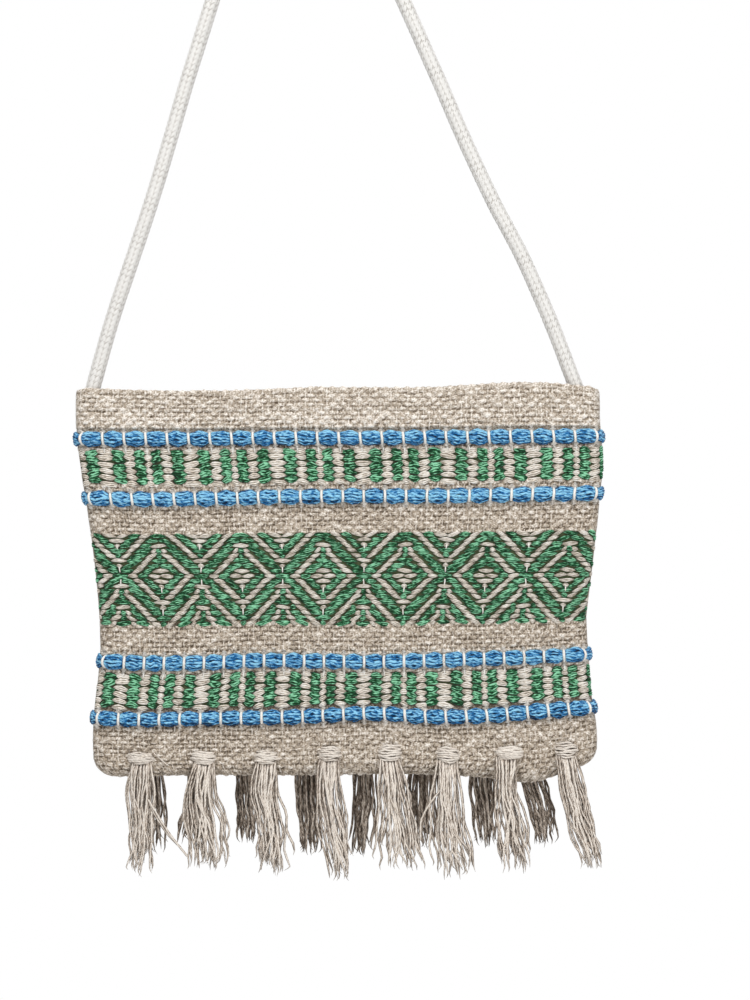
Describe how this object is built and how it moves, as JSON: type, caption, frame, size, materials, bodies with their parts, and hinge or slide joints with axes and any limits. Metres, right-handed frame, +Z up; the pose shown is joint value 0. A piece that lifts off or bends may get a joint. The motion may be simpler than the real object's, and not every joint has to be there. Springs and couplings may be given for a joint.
{
  "type": "flat woven shoulder bag",
  "caption": "Flat handwoven cotton shoulder bag with blue roving rows, green bar and diamond bands, a tassel fringe and a braided rope strap.",
  "frame": {"origin": "under the top of the strap, where a hook or a hand carries the bag", "axes": "+Z up as the bag hangs, +X along the mouth, -Y out of the front panel"},
  "size_m": [0.2796, 0.0292, 0.5676],
  "materials": {
    "cotton_cloth": "undyed handwoven cotton, coarse plain weave",
    "blue_roving": "thick soft cotton roving, tied down with cream thread",
    "green_weft": "dyed cotton pattern weft floating on the cloth",
    "tassel_yarn": "loose two-ply cotton yarn",
    "strap_rope": "off-white braided cotton rope"
  },
  "bodies": {
    "root": {"back_panel": "cotton_cloth", "blue_roving_back_1": "blue_roving", "blue_roving_back_2": "blue_roving", "blue_roving_back_3": "blue_roving", "blue_roving_back_4": "blue_roving", "blue_roving_front_1": "blue_roving", "blue_roving_front_2": "blue_roving", "blue_roving_front_3": "blue_roving", "blue_roving_front_4": "blue_roving", "front_panel": "cotton_cloth", "green_bars_back_1": "green_weft", "green_bars_back_2": "green_weft", "green_bars_front_1": "green_weft", "green_bars_front_2": "green_weft", "green_diamonds_back": "green_weft", "green_diamonds_front": "green_weft", "strap": "strap_rope", "tassel_back_1": "tassel_yarn", "tassel_back_2": "tassel_yarn", "tassel_back_3": "tassel_yarn", "tassel_back_4": "tassel_yarn", "tassel_back_5": "tassel_yarn", "tassel_back_6": "tassel_yarn", "tassel_back_7": "tassel_yarn", "tassel_back_8": "tassel_yarn", "tassel_front_1": "tassel_yarn", "tassel_front_2": "tassel_yarn", "tassel_front_3": "tassel_yarn", "tassel_front_4": "tassel_yarn", "tassel_front_5": "tassel_yarn", "tassel_front_6": "tassel_yarn", "tassel_front_7": "tassel_yarn", "tassel_front_8": "tassel_yarn"}
  },
  "joints": []
}
